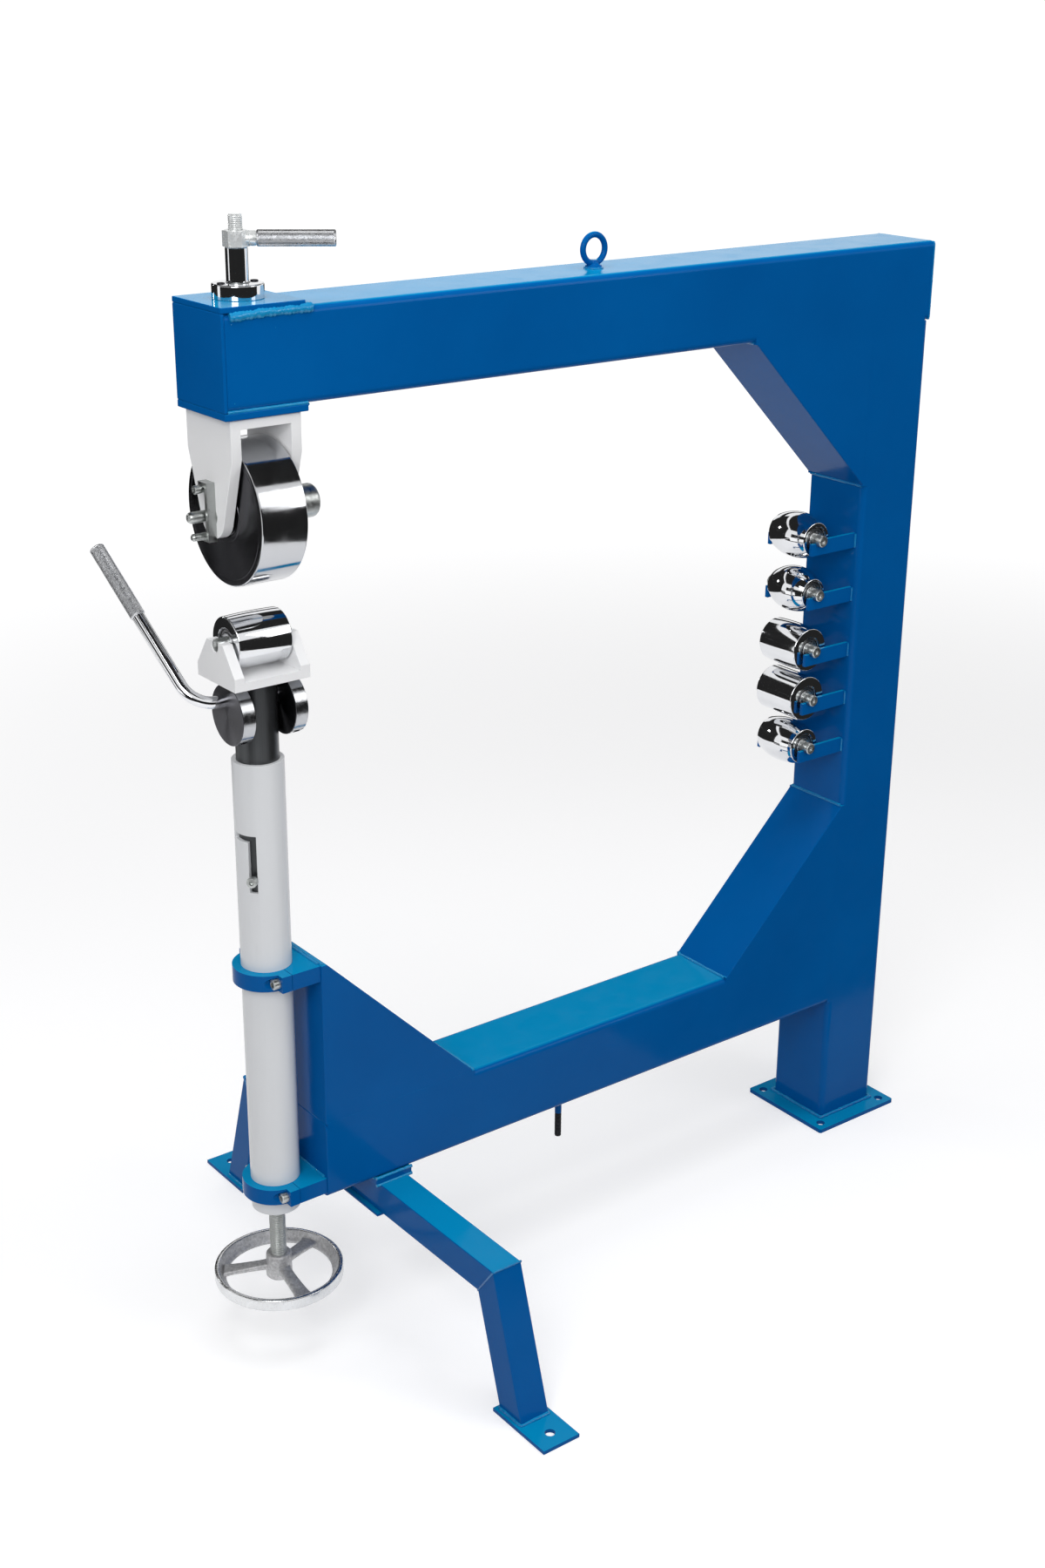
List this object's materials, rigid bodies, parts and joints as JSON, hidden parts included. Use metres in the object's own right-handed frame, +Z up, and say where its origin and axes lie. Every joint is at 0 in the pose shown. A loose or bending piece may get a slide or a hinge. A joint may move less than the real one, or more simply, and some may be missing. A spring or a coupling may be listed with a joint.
{
  "type": "english wheel",
  "caption": "Floor-standing metal-shaping wheel on a welded C-frame, with a swivelling upper wheel, a screw-raised anvil on a cam lift, and a rack of spare anvils.",
  "frame": {"origin": "centre of the rear foot plate's underside, on the floor", "axes": "+X along the arms from the wheel to the rear column, +Y to the side away from the viewer, +Z up"},
  "size_m": [1.1246, 0.7708, 1.3393],
  "materials": {
    "blue_paint": "glossy blue enamel",
    "white_paint": "semi-gloss off-white enamel",
    "dark_steel": "bare turned steel, darkened",
    "polished_steel": "ground and polished",
    "zinc_steel": "zinc plated",
    "chrome": "bright chrome",
    "cast_aluminium": "rough cast with a machined rim"
  },
  "bodies": {
    "frame": {"rear_foot_plate": "blue_paint", "rear_column": "blue_paint", "lower_arm": "blue_paint", "upper_arm": "blue_paint", "arm_end_cap": "blue_paint", "lower_gusset": "blue_paint", "upper_gusset": "blue_paint", "front_gusset": "blue_paint", "head_top_plate": "blue_paint", "head_bottom_plate": "blue_paint", "head_front_plate": "blue_paint", "spindle_bush": "dark_steel", "spindle_collar": "chrome", "lifting_eye": "blue_paint", "rack_arms": "blue_paint", "leg_saddle_plate": "blue_paint", "leg_splice_plate": "blue_paint", "leg_cross_tube": "blue_paint", "near_leg": "blue_paint", "far_leg": "blue_paint", "near_foot": "blue_paint", "far_foot": "blue_paint", "underside_stud": "blue_paint", "outer_column": "white_paint", "column_nut": "dark_steel", "upper_clamp_block": "blue_paint", "upper_clamp_cap": "blue_paint", "lower_clamp_block": "blue_paint", "lower_clamp_cap": "blue_paint", "clamp_screws": "zinc_steel"},
    "swivel": {"spindle": "zinc_steel", "spindle_sleeve": "chrome", "upper_yoke": "white_paint", "upper_axle": "zinc_steel", "axle_keeper": "zinc_steel", "keeper_pins": "zinc_steel"},
    "wheel": {"upper_wheel": "polished_steel"},
    "lock": {"lock_nut": "zinc_steel", "lock_grip": "chrome"},
    "column": {"inner_column": "dark_steel", "guide_screw": "zinc_steel"},
    "hand": {"lift_screw": "zinc_steel", "handwheel": "cast_aluminium", "handwheel_nut": "zinc_steel"},
    "cam": {"cam_lever": "chrome", "lever_grip": "chrome", "cam_discs": "dark_steel"},
    "yoke": {"anvil_yoke": "white_paint", "working_axle": "zinc_steel"},
    "anvil": {"working_anvil": "chrome"},
    "spare_1": {"spare_axle_1": "zinc_steel"},
    "spare_roll_1": {"spare_anvil_1": "chrome"},
    "spare_2": {"spare_axle_2": "zinc_steel"},
    "spare_roll_2": {"spare_anvil_2": "chrome"},
    "spare_3": {"spare_axle_3": "zinc_steel"},
    "spare_roll_3": {"spare_anvil_3": "chrome"},
    "spare_4": {"spare_axle_4": "zinc_steel"},
    "spare_roll_4": {"spare_anvil_4": "chrome"},
    "spare_5": {"spare_axle_5": "zinc_steel"},
    "spare_roll_5": {"spare_anvil_5": "chrome"}
  },
  "joints": [
    {"name": "yoke_swivel", "type": "hinge", "parent": "frame", "child": "swivel", "pos_m": [-0.936, 0, 1.141], "axis": [0, 0, 1], "range_deg": [-90, 90]},
    {"name": "wheel_spin", "type": "hinge", "parent": "swivel", "child": "wheel", "pos_m": [-0.936, 0, 1.0342], "axis": [1, 0, 0], "continuous": true},
    {"name": "lock_turn", "type": "hinge", "parent": "swivel", "child": "lock", "pos_m": [-0.936, 0, 1.3163], "axis": [0, 0, 1], "range_deg": [0, 120]},
    {"name": "handwheel_spin", "type": "hinge", "parent": "column", "child": "hand", "pos_m": [-0.936, 0, 0.092], "axis": [0, 0, 1], "range_deg": [-1440, 1872]},
    {"name": "column_lift", "type": "slide", "parent": "frame", "child": "column", "axis": [0, 0, 1], "range_m": [-0.01, 0.013]},
    {"name": "lever_turn", "type": "hinge", "parent": "column", "child": "cam", "pos_m": [-0.936, 0, 0.829], "axis": [-1, 0, 0], "range_deg": [0, 75]},
    {"name": "yoke_lift", "type": "slide", "parent": "column", "child": "yoke", "axis": [0, 0, 1], "range_m": [0, 0.0198]},
    {"name": "anvil_spin", "type": "hinge", "parent": "yoke", "child": "anvil", "pos_m": [-0.936, 0, 0.89267], "axis": [1, 0, 0], "continuous": true},
    {"name": "spare_lift_1", "type": "slide", "parent": "frame", "child": "spare_1", "axis": [0, 0, 1], "range_m": [0, 0.007]},
    {"name": "spare_spin_1", "type": "hinge", "parent": "spare_1", "child": "spare_roll_1", "pos_m": [-0.114, 0, 0.5949], "axis": [0, 1, 0], "continuous": true},
    {"name": "spare_lift_2", "type": "slide", "parent": "frame", "child": "spare_2", "axis": [0, 0, 1], "range_m": [0, 0.007]},
    {"name": "spare_spin_2", "type": "hinge", "parent": "spare_2", "child": "spare_roll_2", "pos_m": [-0.114, 0, 0.6629], "axis": [0, 1, 0], "continuous": true},
    {"name": "spare_lift_3", "type": "slide", "parent": "frame", "child": "spare_3", "axis": [0, 0, 1], "range_m": [0, 0.007]},
    {"name": "spare_spin_3", "type": "hinge", "parent": "spare_3", "child": "spare_roll_3", "pos_m": [-0.114, 0, 0.7309], "axis": [0, 1, 0], "continuous": true},
    {"name": "spare_lift_4", "type": "slide", "parent": "frame", "child": "spare_4", "axis": [0, 0, 1], "range_m": [0, 0.007]},
    {"name": "spare_spin_4", "type": "hinge", "parent": "spare_4", "child": "spare_roll_4", "pos_m": [-0.114, 0, 0.8079], "axis": [0, 1, 0], "continuous": true},
    {"name": "spare_lift_5", "type": "slide", "parent": "frame", "child": "spare_5", "axis": [0, 0, 1], "range_m": [0, 0.007]},
    {"name": "spare_spin_5", "type": "hinge", "parent": "spare_5", "child": "spare_roll_5", "pos_m": [-0.114, 0, 0.8809], "axis": [0, 1, 0], "continuous": true}
  ],
  "couplings": [
    {"joint": "column_lift", "follows": "handwheel_spin", "m_per_rad": 0.00039789},
    {"joint": "yoke_lift", "follows": "lever_turn", "m_per_rad": 0.01509}
  ]
}
